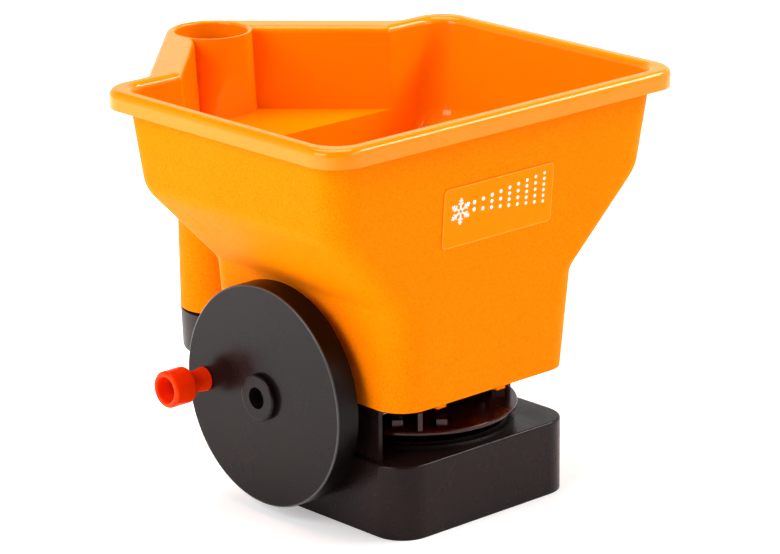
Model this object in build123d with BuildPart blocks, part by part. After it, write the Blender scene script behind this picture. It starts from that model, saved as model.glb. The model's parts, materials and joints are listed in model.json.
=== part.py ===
from build123d import *
import math
import os

# Handheld salt spreader. An orange hopper with a moulded grip tube stands on a black drive base.
# The crank wheel carries an internal ring gear, which turns a pinion on a cross shaft; two mitre
# gears pass the turn on to the upright spinner shaft. A finger trigger slides the metering gate.
# Millimetres. Origin on the ground under the spinner shaft, +Z up, front at -Y, crank wheel at -X.

os.makedirs("parts", exist_ok=True)

# ---------------------------------------------------------------- driving dimensions
FIT = 0.05  # radial running clearance
GAP = 0.3  # clearance between pieces that slide or only pass each other
THROUGH = 30.0  # depth of a cut that passes right through
SAME = 0.01  # two positions closer than this are the same

# hopper
RIM_Z = 212.0
RIM_HALF_X = 117.7
RIM_FRONT_Y = -72.3
RIM_BACK_Y = 102.2
RIM_CORNER_R = 17.6
RIM_NOTCH_R = 7.0
LIP_HEIGHT = 9.2
LIP_SKIN = 2.2
LIP_GROOVE_DEPTH = 5.6
LIP_OUTER_R = 3.4
LIP_INNER_R = 3.6
WALL = 2.2
BIN_CORNER_R = 16.0
FLOOR_Z = 65.5
FLOOR_THICKNESS = 2.5
FLOOR_HALF_X = 59.2
FLOOR_FRONT_Y = -52.9
FLOOR_BACK_Y = 84.6
FRONT_SLOPE = -0.0818
BACK_SLOPE = 0.0729
FUNNEL_FOOT_Z = 117.4
FUNNEL_FOOT_HALF_X = 61.4
FUNNEL_TOP_Z = 161.3
FUNNEL_TOP_HALF_X = 104.3
BIN_TOP_HALF_X = 110.9
FOOT_BLEND = 3.0
TOP_BLEND = 5.0
SHELF_Z = 166.5
FLOOR_BOSS_R = 4.0
FLOOR_BOSS_HEIGHT = 8.0
FLOOR_HOLE_DEPTH = 6.0
SHAFT_HOLE_R = 4.5

# grip tube, moulded in one with the hopper
TUBE_Y = 153.2
TUBE_TOP_R = 21.0
TUBE_FOOT_R = 19.3
TUBE_FOOT_Z = 63.0
TUBE_WALL = 2.4
TUBE_FLOOR_Z = 71.0
TUBE_FLOOR_THICKNESS = 3.0
TUBE_BOSS_R = 3.75
TUBE_BOSS_HEIGHT = 12.0
TUBE_HOLE_DEPTH = 10.0
TUBE_MOUTH_R = 1.4
COLLAR_HALF_X = 19.4
COLLAR_FRONT = 17.6
COLLAR_BACK = 20.1
COLLAR_FRONT_R = 7.0
COLLAR_BACK_R = 18.0
TUBE_ROUND_GAP = 0.4
LIP_TUBE_R = 23.9
BULGE_TOP_R = 9.1
BULGE_FOOT_R = 6.4
BULGE_NOTCH_R = 3.0

# front label
LABEL_WIDTH = 74.0
LABEL_HEIGHT = 30.8
LABEL_X = -1.4
LABEL_Z = 162.0
LABEL_THICKNESS = 0.35
LABEL_CORNER_R = 3.0

# base
BASE_HALF_X = 59.6
BASE_FRONT_Y = -53.3
BASE_BACK_Y = 62.0
BASE_CORNER_R = 16.4
BASE_EDGE_R = 1.2
DECK_Z = 38.0
SHELL = 2.5
PAD_R = 50.0
PAD_HEIGHT = 2.5
PAD_RIB_R = 46.5
PAD_RIB_WIDTH = 2.5
PAD_RIB_HEIGHT = 1.0
SIDE_WALL_X = 57.7
LEFT_WALL_FRONT_Y = -35.7
RIGHT_WALL_FRONT_Y = -10.0
REAR_WALL_Y = 60.0
REAR_CORNER_R = 14.0
LUG_X = 49.5
LEFT_LUG_FRONT_Y = -29.0
RIGHT_LUG_FRONT_Y = -2.0
LUG_BACK_Y = 45.0
LUG_SIZE = 10.0
LUG_THICKNESS = 3.7
COVER_THICKNESS = 2.5
COVER_SCREW_X = 47.0
COVER_SCREW_FRONT_Y = -40.0
COVER_SCREW_BACK_Y = 49.0
BOSS_R = 4.5
SCREW_R = 1.5
SCREW_HEAD_R = 3.0
COVER_SCREW_TIP_Z = 14.0
COVER_SCREW_SINK = 1.5
COVER_HEAD_HEIGHT = 1.3
COVER_HOLE_DEPTH = 16.0
SCREW_HEAD_HEIGHT = 2.0
SPINNER_BUSH_R = 5.5
BUSH_FLANGE_R = 7.0
BUSH_FLANGE = 1.0
FOOT_BUSH_LENGTH = 6.0
FOOT_SEAT_R = 8.0
FOOT_SEAT_HEIGHT = 7.0
CROSS_BUSH_R = 4.5
SIDE_SEAT_R = 7.0
SIDE_SEAT_REACH = 3.0
INNER_WEB_X = -22.0
INNER_WEB_THICKNESS = 4.0
INNER_WEB_HALF_Y = 9.0
INNER_WEB_DROP = 8.0
SEAL_R = 6.0
SEAL_LIP = 1.5
FLOOR_SCREW_DEPTH = 5.5

# crank wheel and its axle
WHEEL_Y = 24.6
WHEEL_Z = 62.3
WHEEL_R = 56.4
WHEEL_FACE_X = -80.5
WHEEL_BACK_X = -67.3
WHEEL_EDGE_R = 1.2
WHEEL_RIM_WALL = 2.5
WEB = 2.5
HUB_R = 11.9
HUB_PROUD = 3.3
HUB_EDGE_R = 1.2
HUB_HOLE_R = 5.5
HUB_HOLE_DEPTH = 9.2
INNER_HUB_R = 9.0
AXLE_R = 4.0
AXLE_ROOT_R = 2.5
AXLE_BOSS_R = 8.0
AXLE_SHOULDER_X = -62.0
WASHER_THICKNESS = 0.8
AXLE_END_GAP = 0.15
GUSSET_THICKNESS = 3.0
WHEEL_RECESS = 1.5
WHEEL_SCREW_LENGTH = 8.0
WHEEL_SCREW_HOLE = 9.0
WHEEL_SCREW_HEAD_R = 3.6
WHEEL_SCREW_HEAD_HEIGHT = 2.3

# knob
CRANK_RADIUS = 43.4
KNOB_DROP = 1.3
KNOB_NECK_R = 5.6
KNOB_FLARE_R = 6.2
KNOB_NECK_LENGTH = 9.9
KNOB_SHOULDER = 2.7
KNOB_HEAD_R = 9.4
KNOB_HEAD_LENGTH = 12.7
KNOB_EDGE_R = 1.6
KNOB_MOUTH_EDGE_R = 1.1
KNOB_HOLE_R = 6.5
KNOB_HOLE_DEPTH = 10.5
KNOB_PIN_R = 3.0
KNOB_PIN_HEAD_R = 5.2
KNOB_PIN_HEAD_HEIGHT = 2.0

# gears
MODULE = 1.25
RING_TEETH = 84
PINION_TEETH = 12
PRESSURE_ANGLE = math.radians(20)
FLANK_POINTS = 3
BACKLASH = 0.26
PINION_ADDENDUM = 0.95
PINION_DEDENDUM = 1.35
PINION_FACE = 7.6
RING_ADDENDUM = 0.7
RING_DEDENDUM = 1.2
MITRE_TEETH = 16
MITRE_R = 9.0
MITRE_FACE = 3.5
MITRE_ADDENDUM = 0.85
MITRE_DEDENDUM = 1.3
MITRE_TOOTH_ANGLE = 9.2
MITRE_ROOT_SPREAD = 1.5
MITRE_TIP_SPREAD = 0.6
MITRE_HUB_R = 5.5
MITRE_HUB_LENGTH = 5.0
CROSS_SHAFT_R = 2.5
CROSS_END_GAP = 1.6
CLIP_REACH = 2.2
CLIP_THICKNESS = 1.0
SPINNER_SHAFT_R = 3.0

# spinner
DISC_R = 51.6
DISC_Z = 46.1
DISC_THICKNESS = 2.3
DISC_HUB_R = 8.0
DISC_HUB_Z = 42.0
DISC_HUB_TOP_Z = 52.5
DISC_PIN_R = 1.0
DISC_PIN_LENGTH = 15.2
DISC_PIN_DROP = 2.5
DISC_EDGE_R = 0.7
VANES = 3
VANE_ANGLE = -130.2
VANE_HEIGHT = 4.2
VANE_THICKNESS = 2.4
VANE_START = 11.0
VANE_END = 50.4
VANE_TIP_START = 45.0
VANE_TIP_HEIGHT = 9.4
RIB_OFFSET = 10.9
RIB_END = 45.3
RIB_LENGTH = 8.0
RIB_WIDTH = 5.4
SHAFT_END_CHAMFER = 0.4
SHAFT_FOOT_Z = 3.2
SHAFT_TOP_Z = 92.0
AGITATOR_HUB_R = 6.0
AGITATOR_Z = 72.0
AGITATOR_HEIGHT = 15.0
AGITATOR_REACH = 24.0
AGITATOR_ROD_R = 1.6
AGITATOR_ROD_ROOT = 4.5
AGITATOR_ROD_HEIGHTS = (3.0, 7.5, 12.0)

# gate, shroud and trigger
GATE_HALF_X = 19.5
GATE_THICKNESS = 2.4
GATE_TRAVEL = 18.0
GATE_FRONT_Y = -20.0
GATE_BACK_Y = 24.0
PORT_X = 11.7
PORT_WIDTH = 9.6
PORT_FRONT_Y = 4.0
PORT_LENGTH = 15.0
RAIL_FRONT_Y = -41.0
RAIL_BACK_Y = 43.0
RAIL_THICKNESS = 3.5
RAIL_FOOT_Z = 58.2
RAIL_LEDGE = 2.5
SHROUD_HALF_X = 33.0
SHROUD_FRONT_Y = -23.5
SHROUD_BACK_Y = 27.5
SHROUD_Z = 55.5
SHROUD_WALL = 2.0
SHROUD_SCREW_X = 27.6
SHROUD_SCREW_YS = (-17.8, 21.8)
TAIL_HALF_X = 8.0
TRIGGER_FRONT_Y = 95.0
TRIGGER_DEPTH = 10.0
TRIGGER_FOOT_Z = 54.0
TRIGGER_SHOULDER_Z = 69.0
TRIGGER_TOP_Z = 104.0
TRIGGER_HALF_X = 10.5
TRIGGER_BLADE = 4.5
TRIGGER_PIN_R = 1.25
TRIGGER_PIN_LENGTH = 9.0
TRIGGER_PIN_START = 4.0
TRIGGER_EDGE_R = 2.0
TRIGGER_TIP_R = 1.5
BLADE_INSET = 1.0
BLADE_FOOT = 2.0
BLADE_BOW = 3.0
TAIL_INSET = 2.0
FORK_GAP = 0.8
SPRING_Z = 58.2
SPRING_R = 3.6
SPRING_WIRE_R = 0.5
SPRING_TURNS = 8
SPIGOT_R = 2.6
SPIGOT_LENGTH = 4.6

# grip bracket
CUP_TOP_R = 19.2
CUP_FOOT_R = 18.3
CUP_EDGE_R = 4.0
CUP_TOP_SLOPE = 4.5
CUP_PLUG_R = 15.6
CUP_CEILING_Z = 55.0
GRIP_SCREW_TIP_Z = 79.0
ARM_TOP_Z = 52.0
ARM_HALF_X = 15.0
ARM_CUP_HALF_X = 16.0
BRACKET_SCREW_X = 9.0
BRACKET_SCREW_Z = 44.0
BRACKET_SCREW_DEPTH = 7.0
BRACKET_BOSS_R = 3.5
BRACKET_BOSS_LENGTH = 10.0
BRACKET_HOLE_DEPTH = 8.0
PLUG_GAP = 1.0
SPIGOT_ROOT = 1.5

# ---------------------------------------------------------------- derived dimensions
centre_distance = MODULE * (RING_TEETH - PINION_TEETH) / 2
CROSS_Z = WHEEL_Z - math.sqrt(centre_distance**2 - WHEEL_Y**2)
mesh_angle = math.atan2(CROSS_Z - WHEEL_Z, -WHEEL_Y)
half_pitch = math.pi * MODULE / 2
gate_top_z = FLOOR_Z - GAP
gate_z = gate_top_z - GATE_THICKNESS
deck_under_z = DECK_Z - SHELL
disc_top_z = DISC_Z + DISC_THICKNESS
knob_y = WHEEL_Y + CRANK_RADIUS
knob_z = WHEEL_Z - KNOB_DROP
knob_foot_x = WHEEL_FACE_X - GAP
knob_bore_length = KNOB_NECK_LENGTH + KNOB_SHOULDER + KNOB_HEAD_LENGTH - KNOB_HOLE_DEPTH
web_x = WHEEL_FACE_X + WEB
hub_end_x = WHEEL_FACE_X - HUB_PROUD
hub_seat_x = hub_end_x + HUB_HOLE_DEPTH
axle_end_x = hub_seat_x - AXLE_END_GAP
trigger_back_y = TRIGGER_FRONT_Y + TRIGGER_DEPTH
cup_front_y = TUBE_Y - CUP_TOP_R
rail_outer_x = GATE_HALF_X + GAP + RAIL_THICKNESS


def finish(part, name):
    """Label a finished piece and write it to its own file."""
    part.label = name
    export_step(part, f"parts/{name}.step")


# ---------------------------------------------------------------- shared profiles
def bin_front(z):
    """The hopper's front face at height z."""
    return FLOOR_FRONT_Y + FRONT_SLOPE * (z - FLOOR_Z)


def bin_back(z):
    """The hopper's back face at height z."""
    return FLOOR_BACK_Y + BACK_SLOPE * (z - FLOOR_Z)


def bin_half_x(z):
    """Half the hopper's width at height z: three straight runs with a rounded break between them."""
    levels = (FLOOR_Z, FUNNEL_FOOT_Z, FUNNEL_TOP_Z, RIM_Z)
    widths = (FLOOR_HALF_X, FUNNEL_FOOT_HALF_X, FUNNEL_TOP_HALF_X, BIN_TOP_HALF_X)
    slopes = [(widths[i + 1] - widths[i]) / (levels[i + 1] - levels[i]) for i in range(3)]
    for i, blend in ((1, FOOT_BLEND), (2, TOP_BLEND)):
        past = z - levels[i]
        if abs(past) < blend:
            mean = (slopes[i - 1] + slopes[i]) / 2
            bend = (slopes[i] - slopes[i - 1]) / (4 * blend)
            return widths[i] + mean * past + bend * (past**2 + blend**2)
    run = 0 if z < FUNNEL_FOOT_Z else 1 if z < FUNNEL_TOP_Z else 2
    return widths[run] + slopes[run] * (z - levels[run])


def slab(z, half_x, front, back, corner):
    """A rounded rectangle at height z."""
    with BuildSketch(Plane.XY.offset(z)) as section:
        with Locations((0, (front + back) / 2)):
            RectangleRounded(2 * half_x, back - front, corner)
    return section.sketch


def bin_section(z, inset):
    """The hopper's cross section at height z, drawn in from its outer face by inset."""
    return slab(z, bin_half_x(z) - inset, bin_front(z) + inset, bin_back(z) - inset, BIN_CORNER_R - inset)


def rim_section(z, half_x, front, back, corner, tube_r, notch_r):
    """A rounded rectangle with the rear bulge, whose slanted sides touch a circle round the grip tube."""
    reach = tube_r * math.sqrt(0.5)
    spread = 2 * reach + TUBE_Y - back
    with BuildSketch(Plane.XY.offset(z)) as section:
        with Locations((0, (front + back) / 2)):
            RectangleRounded(2 * half_x, back - front, corner)
        bulge = (
            (-spread - 1, back - 1),
            (-reach, TUBE_Y + reach),
            (reach, TUBE_Y + reach),
            (spread + 1, back - 1),
        )
        Polygon(*bulge, align=None)
        with Locations((0, TUBE_Y)):
            Circle(tube_r)
        on_back = section.vertices().filter_by(lambda v: abs(v.Y - back) < SAME)
        notches = on_back.filter_by(lambda v: abs(abs(v.X) - spread) < SAME)
        fillet(notches, notch_r)
    return section.sketch


def bulge_section(z, inset, tube_r):
    """The upper hopper's cross section with its rear bulge."""
    front = bin_front(z) + inset
    back = bin_back(z) - inset
    corner = BIN_CORNER_R - inset
    return rim_section(z, bin_half_x(z) - inset, front, back, corner, tube_r - inset, BULGE_NOTCH_R)


def lip_section(z, inset):
    """The outline of the rolled lip."""
    corner = RIM_CORNER_R - inset
    front = RIM_FRONT_Y + inset
    back = RIM_BACK_Y - inset
    return rim_section(z, RIM_HALF_X - inset, front, back, corner, LIP_TUBE_R - inset, RIM_NOTCH_R)


def tube_section(z, half_x, front, back, front_r, back_r):
    """The grip tube's cross section inside the hopper: flatter in front than behind."""
    with BuildSketch(Plane.XY.offset(z)) as section:
        with Locations((0, TUBE_Y + (back - front) / 2)):
            Rectangle(2 * half_x, front + back)
        fillet(section.vertices().sort_by(Axis.Y)[:2], front_r)
        fillet(section.vertices().sort_by(Axis.Y)[-2:], back_r)
    return section.sketch


def tube_loft(low_z, inset, mode=Mode.ADD):
    """The grip tube from the shelf's level to the rim, drawn in by inset."""
    foot = tube_section(
        low_z,
        COLLAR_HALF_X - inset,
        COLLAR_FRONT - inset,
        COLLAR_BACK - inset,
        COLLAR_FRONT_R - inset,
        COLLAR_BACK_R - inset,
    )
    top_r = TUBE_TOP_R - inset
    round_r = top_r - TUBE_ROUND_GAP
    loft([foot, tube_section(RIM_Z, top_r, top_r, top_r, round_r, round_r)], ruled=True, mode=mode)


def break_levels(break_z, blend):
    """Heights of the sections that round one break of the side walls."""
    return [break_z + blend * step for step in (-1, -0.5, 0, 0.5, 1)]


def involute(angle):
    """The involute function of a pressure angle."""
    return math.tan(angle) - angle


def gear_points(teeth, tip_r, root_r, thickness, first_angle):
    """Corner points of a spur gear whose flanks are involutes drawn with chords."""
    pitch_r = MODULE * teeth / 2
    base_r = pitch_r * math.cos(PRESSURE_ANGLE)
    flank = []
    for step in range(FLANK_POINTS):
        radius = root_r + (tip_r - root_r) * step / (FLANK_POINTS - 1)
        slope = math.acos(min(1.0, base_r / radius))
        flank.append((radius, thickness / (2 * pitch_r) + involute(PRESSURE_ANGLE) - involute(slope)))
    points = []
    for tooth in range(teeth):
        centre = first_angle + 2 * math.pi * tooth / teeth
        points += [(r * math.cos(centre - a), r * math.sin(centre - a)) for r, a in flank]
        points += [(r * math.cos(centre + a), r * math.sin(centre + a)) for r, a in reversed(flank)]
    return points


def mitre_section(plane, scale, first_angle):
    """A mitre gear's cross section, scaled towards the point where the two shafts' axes cross."""
    half = math.radians(MITRE_TOOTH_ANGLE / 2)
    flank = (
        (MITRE_R - MITRE_DEDENDUM, half * MITRE_ROOT_SPREAD),
        (MITRE_R, half),
        (MITRE_R + MITRE_ADDENDUM, half * MITRE_TIP_SPREAD),
    )
    points = []
    for tooth in range(MITRE_TEETH):
        centre = first_angle + 2 * math.pi * tooth / MITRE_TEETH
        corners = [(scale * r, centre - a) for r, a in flank]
        corners += [(scale * r, centre + a) for r, a in reversed(flank)]
        points += [(r * math.cos(a), r * math.sin(a)) for r, a in corners]
    with BuildSketch(plane) as section:
        Polygon(*points, align=None)
    return section.sketch


def across(x, y, z, towards):
    """A plane square to X, facing +X (towards=1) or -X (towards=-1), with its own Y axis up."""
    return Plane(origin=(x, y, z), x_dir=(0, towards, 0), z_dir=(towards, 0, 0))


def level(z, x=0, y=0):
    """A horizontal plane with its origin at x, y, z."""
    return Plane(origin=(x, y, z))


def disc_on(plane, radius):
    """A filled circle on a plane."""
    with BuildSketch(plane) as section:
        Circle(radius)
    return section.sketch


def ring_on(plane, outer, inner):
    """A flat ring on a plane."""
    with BuildSketch(plane) as section:
        Circle(outer)
        Circle(inner, mode=Mode.SUBTRACT)
    return section.sketch


def box_between(low, high, mode=Mode.ADD):
    """A box given by its lowest and highest corners, made in the running part."""
    size = [b - a for a, b in zip(low, high)]
    middle = tuple((a + b) / 2 for a, b in zip(low, high))
    with Locations(middle):
        Box(*size, mode=mode)


def screw(tip, direction, length, shank_r=SCREW_R, head_r=SCREW_HEAD_R, head_height=SCREW_HEAD_HEIGHT):
    """A pan-head screw with a cross recess: the shank starts at tip, and direction points to the head."""
    plane = Plane(origin=tip, z_dir=direction)
    extrude(disc_on(plane, shank_r), amount=length)
    head = plane.offset(length)
    extrude(disc_on(head, head_r), amount=0.6 * head_height)
    extrude(disc_on(head.offset(0.6 * head_height), head_r), amount=0.4 * head_height, taper=35)
    with BuildSketch(head.offset(head_height)) as recess:
        Rectangle(1.2 * head_r, 0.3 * head_r)
        Rectangle(0.3 * head_r, 1.2 * head_r)
    extrude(recess.sketch, amount=-0.6 * head_height, mode=Mode.SUBTRACT)


def both_sides(value):
    """The two mirror positions of a value of X."""
    return (-value, value)


# ---------------------------------------------------------------- hopper
shell_levels = (
    [FLOOR_Z]
    + break_levels(FUNNEL_FOOT_Z, FOOT_BLEND)
    + break_levels(FUNNEL_TOP_Z, TOP_BLEND)
    + [SHELF_Z]
)
inner_shelf_z = SHELF_Z + WALL
hollow_levels = [FLOOR_Z + FLOOR_THICKNESS] + shell_levels[1:-1] + [inner_shelf_z]
lug_places = (
    (-LUG_X, LEFT_LUG_FRONT_Y),
    (-LUG_X, LUG_BACK_Y),
    (LUG_X, RIGHT_LUG_FRONT_Y),
    (LUG_X, LUG_BACK_Y),
)
shroud_places = [(x, y) for x in both_sides(SHROUD_SCREW_X) for y in SHROUD_SCREW_YS]

with BuildPart() as hopper:
    # the bin below the shelf: its sides slope in like a funnel, its front and back are flat
    loft([bin_section(z, 0) for z in shell_levels], ruled=True)
    # the upper bin with its rear bulge, and the lip round it
    loft([bulge_section(SHELF_Z, 0, BULGE_FOOT_R), bulge_section(RIM_Z, 0, BULGE_TOP_R)], ruled=True)
    extrude(lip_section(RIM_Z - LIP_HEIGHT, 0), amount=LIP_HEIGHT)
    outer_rim = edges().filter_by_position(Axis.Z, RIM_Z, RIM_Z)
    fillet(outer_rim, LIP_OUTER_R)
    # the hollow of the bin
    loft([bin_section(z, WALL) for z in hollow_levels], ruled=True, mode=Mode.SUBTRACT)
    loft(
        [bulge_section(inner_shelf_z, WALL, BULGE_FOOT_R), bulge_section(RIM_Z, WALL, BULGE_TOP_R)],
        ruled=True,
        mode=Mode.SUBTRACT,
    )
    rim_top = faces().sort_by(Axis.Z)[-1]
    fillet(rim_top.inner_wires()[0].edges(), LIP_INNER_R)
    # groove under the lip
    groove_z = RIM_Z - LIP_HEIGHT
    extrude(
        lip_section(groove_z, LIP_SKIN) - bulge_section(groove_z, -GAP, BULGE_TOP_R),
        amount=LIP_GROOVE_DEPTH,
        mode=Mode.SUBTRACT,
    )
    # grip tube, open at the top, with a floor and a screw boss near its foot
    tube_height = SHELF_Z - TUBE_FOOT_Z
    with Locations((0, TUBE_Y, TUBE_FOOT_Z)):
        Cone(TUBE_FOOT_R, COLLAR_BACK, tube_height, align=(Align.CENTER, Align.CENTER, Align.MIN))
    tube_loft(SHELF_Z, 0)
    with Locations((0, TUBE_Y, TUBE_FOOT_Z)):
        Cone(
            TUBE_FOOT_R - TUBE_WALL,
            COLLAR_FRONT - TUBE_WALL,
            tube_height,
            align=(Align.CENTER, Align.CENTER, Align.MIN),
            mode=Mode.SUBTRACT,
        )
    tube_loft(SHELF_Z, TUBE_WALL, mode=Mode.SUBTRACT)
    tube_mouth = faces().sort_by(Axis.Z)[-1].inner_wires().sort_by(Axis.Y)[-1]
    fillet(tube_mouth.edges(), TUBE_MOUTH_R)
    extrude(disc_on(level(TUBE_FLOOR_Z, y=TUBE_Y), TUBE_FOOT_R - TUBE_WALL / 2), amount=TUBE_FLOOR_THICKNESS)
    extrude(disc_on(level(TUBE_FLOOR_Z, y=TUBE_Y), TUBE_BOSS_R), amount=TUBE_BOSS_HEIGHT)
    extrude(disc_on(level(TUBE_FLOOR_Z, y=TUBE_Y), SCREW_R), amount=TUBE_HOLE_DEPTH, mode=Mode.SUBTRACT)
    # guide rails for the gate
    for side in (-1, 1):
        rail_x = sorted((side * (GATE_HALF_X + GAP), side * rail_outer_x))
        box_between((rail_x[0], RAIL_FRONT_Y, RAIL_FOOT_Z), (rail_x[1], RAIL_BACK_Y, FLOOR_Z))
        ledge_x = sorted((side * (GATE_HALF_X + GAP - RAIL_LEDGE), side * (GATE_HALF_X + GAP)))
        box_between((ledge_x[0], RAIL_FRONT_Y, RAIL_FOOT_Z), (ledge_x[1], RAIL_BACK_Y, gate_z - GAP))
    # outlet ports, shaft hole and screw bosses in the floor
    for x in both_sides(PORT_X):
        box_between(
            (x - PORT_WIDTH / 2, PORT_FRONT_Y, FLOOR_Z),
            (x + PORT_WIDTH / 2, PORT_FRONT_Y + PORT_LENGTH, FLOOR_Z + FLOOR_THICKNESS),
            mode=Mode.SUBTRACT,
        )
    extrude(disc_on(level(FLOOR_Z), SHAFT_HOLE_R), amount=FLOOR_THICKNESS, mode=Mode.SUBTRACT)
    for x, y in [*lug_places, *shroud_places]:
        extrude(disc_on(level(FLOOR_Z, x, y), FLOOR_BOSS_R), amount=FLOOR_BOSS_HEIGHT)
        extrude(disc_on(level(FLOOR_Z, x, y), SCREW_R), amount=FLOOR_HOLE_DEPTH, mode=Mode.SUBTRACT)
finish(hopper.part, "hopper")

# ---------------------------------------------------------------- front label
label_middle = (LABEL_X, bin_front(LABEL_Z), LABEL_Z)
label_plane = Plane(origin=label_middle, x_dir=(1, 0, 0), z_dir=(0, -1, FRONT_SLOPE))
with BuildPart() as front_label:
    with BuildSketch(label_plane) as label_outline:
        RectangleRounded(LABEL_WIDTH, LABEL_HEIGHT, LABEL_CORNER_R)
    extrude(label_outline.sketch, amount=LABEL_THICKNESS)
finish(front_label.part, "front_label")

# ---------------------------------------------------------------- base housing
cover_places = [(x, y) for x in both_sides(COVER_SCREW_X) for y in (COVER_SCREW_FRONT_Y, COVER_SCREW_BACK_Y)]
chassis_top_z = FLOOR_Z - GAP
with BuildPart() as base_housing:
    extrude(slab(0, BASE_HALF_X, BASE_FRONT_Y, BASE_BACK_Y, BASE_CORNER_R), amount=DECK_Z)
    fillet(edges().filter_by_position(Axis.Z, DECK_Z, DECK_Z), BASE_EDGE_R)
    extrude(
        slab(0, BASE_HALF_X - SHELL, BASE_FRONT_Y + SHELL, BASE_BACK_Y - SHELL, BASE_CORNER_R - SHELL),
        amount=deck_under_z,
        mode=Mode.SUBTRACT,
    )
    extrude(disc_on(level(DECK_Z), PAD_R), amount=PAD_HEIGHT)
    pad_top = level(DECK_Z + PAD_HEIGHT)
    extrude(ring_on(pad_top, PAD_RIB_R, PAD_RIB_R - PAD_RIB_WIDTH), amount=PAD_RIB_HEIGHT)
    # side walls and rear wall round the spinner, open to the front
    with BuildSketch(Plane.XY.offset(DECK_Z)) as chamber_walls:
        add(slab(0, SIDE_WALL_X, BASE_FRONT_Y, REAR_WALL_Y, REAR_CORNER_R))
        add(
            slab(0, SIDE_WALL_X - SHELL, BASE_FRONT_Y + SHELL, REAR_WALL_Y - SHELL, REAR_CORNER_R - SHELL),
            mode=Mode.SUBTRACT,
        )
        for side, wall_front in ((-1, LEFT_WALL_FRONT_Y), (1, RIGHT_WALL_FRONT_Y)):
            open_front = wall_front - BASE_FRONT_Y
            with Locations((side * BASE_HALF_X / 2, wall_front - open_front / 2)):
                Rectangle(BASE_HALF_X, open_front, mode=Mode.SUBTRACT)
    extrude(chamber_walls.sketch, amount=chassis_top_z - DECK_Z)
    # lugs under the hopper's floor
    for x, y in lug_places:
        outer_x = math.copysign(SIDE_WALL_X - SHELL / 2, x)
        low_x, high_x = sorted((x - math.copysign(LUG_SIZE / 2, x), outer_x))
        lug_low = (low_x, y - LUG_SIZE / 2, chassis_top_z - LUG_THICKNESS)
        box_between(lug_low, (high_x, y + LUG_SIZE / 2, chassis_top_z))
        extrude(disc_on(level(chassis_top_z, x, y), SCREW_R + GAP), amount=-LUG_THICKNESS, mode=Mode.SUBTRACT)
    # boss for the wheel's axle, with a gusset below it
    axle_plane = across(-SIDE_WALL_X, WHEEL_Y, WHEEL_Z, -1)
    boss_length = -SIDE_WALL_X - (WHEEL_BACK_X + GAP)
    extrude(disc_on(axle_plane, AXLE_BOSS_R), amount=boss_length)
    gusset_half = GUSSET_THICKNESS / 2
    box_between(
        (-SIDE_WALL_X - boss_length / 2, WHEEL_Y - gusset_half, DECK_Z),
        (-SIDE_WALL_X, WHEEL_Y + gusset_half, WHEEL_Z - AXLE_R),
    )
    box_between(
        (-BASE_HALF_X - GAP, WHEEL_Y - AXLE_BOSS_R, chassis_top_z),
        (-SIDE_WALL_X, WHEEL_Y + AXLE_BOSS_R, WHEEL_Z + AXLE_BOSS_R),
        mode=Mode.SUBTRACT,
    )
    shoulder_plane = across(AXLE_SHOULDER_X, WHEEL_Y, WHEEL_Z, -1)
    extrude(disc_on(shoulder_plane, AXLE_R), amount=THROUGH, mode=Mode.SUBTRACT)
    extrude(disc_on(shoulder_plane, AXLE_ROOT_R), amount=-THROUGH, mode=Mode.SUBTRACT)
    # bearing seats of the cross shaft: a boss in the side and a web under the deck
    side_seat = across(-BASE_HALF_X + SHELL, 0, CROSS_Z, -1)
    extrude(disc_on(side_seat, SIDE_SEAT_R), amount=SHELL + SIDE_SEAT_REACH)
    extrude(disc_on(side_seat, CROSS_BUSH_R), amount=SHELL + SIDE_SEAT_REACH, mode=Mode.SUBTRACT)
    box_between(
        (INNER_WEB_X, -INNER_WEB_HALF_Y, CROSS_Z - INNER_WEB_DROP),
        (INNER_WEB_X + INNER_WEB_THICKNESS, INNER_WEB_HALF_Y, deck_under_z),
    )
    inner_seat = across(INNER_WEB_X, 0, CROSS_Z, 1)
    extrude(disc_on(inner_seat, CROSS_BUSH_R), amount=INNER_WEB_THICKNESS, mode=Mode.SUBTRACT)
    # hole for the spinner shaft's upper bush
    extrude(disc_on(level(deck_under_z), SPINNER_BUSH_R), amount=SHELL + PAD_HEIGHT, mode=Mode.SUBTRACT)
    # bosses for the bottom cover's screws
    for x, y in cover_places:
        extrude(disc_on(level(COVER_THICKNESS, x, y), BOSS_R), amount=deck_under_z - COVER_THICKNESS)
        extrude(disc_on(level(COVER_THICKNESS, x, y), SCREW_R), amount=COVER_HOLE_DEPTH, mode=Mode.SUBTRACT)
    # way out for the gate's tail, and holes for the bracket's screws
    box_between(
        (-TAIL_HALF_X - GAP, REAR_WALL_Y - SHELL, gate_z - GAP),
        (TAIL_HALF_X + GAP, REAR_WALL_Y, chassis_top_z),
        mode=Mode.SUBTRACT,
    )
    for x in both_sides(BRACKET_SCREW_X):
        hole_plane = Plane(origin=(x, REAR_WALL_Y - SHELL, BRACKET_SCREW_Z), z_dir=(0, 1, 0))
        extrude(disc_on(hole_plane, SCREW_R + GAP), amount=SHELL, mode=Mode.SUBTRACT)
finish(base_housing.part, "base_housing")

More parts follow.
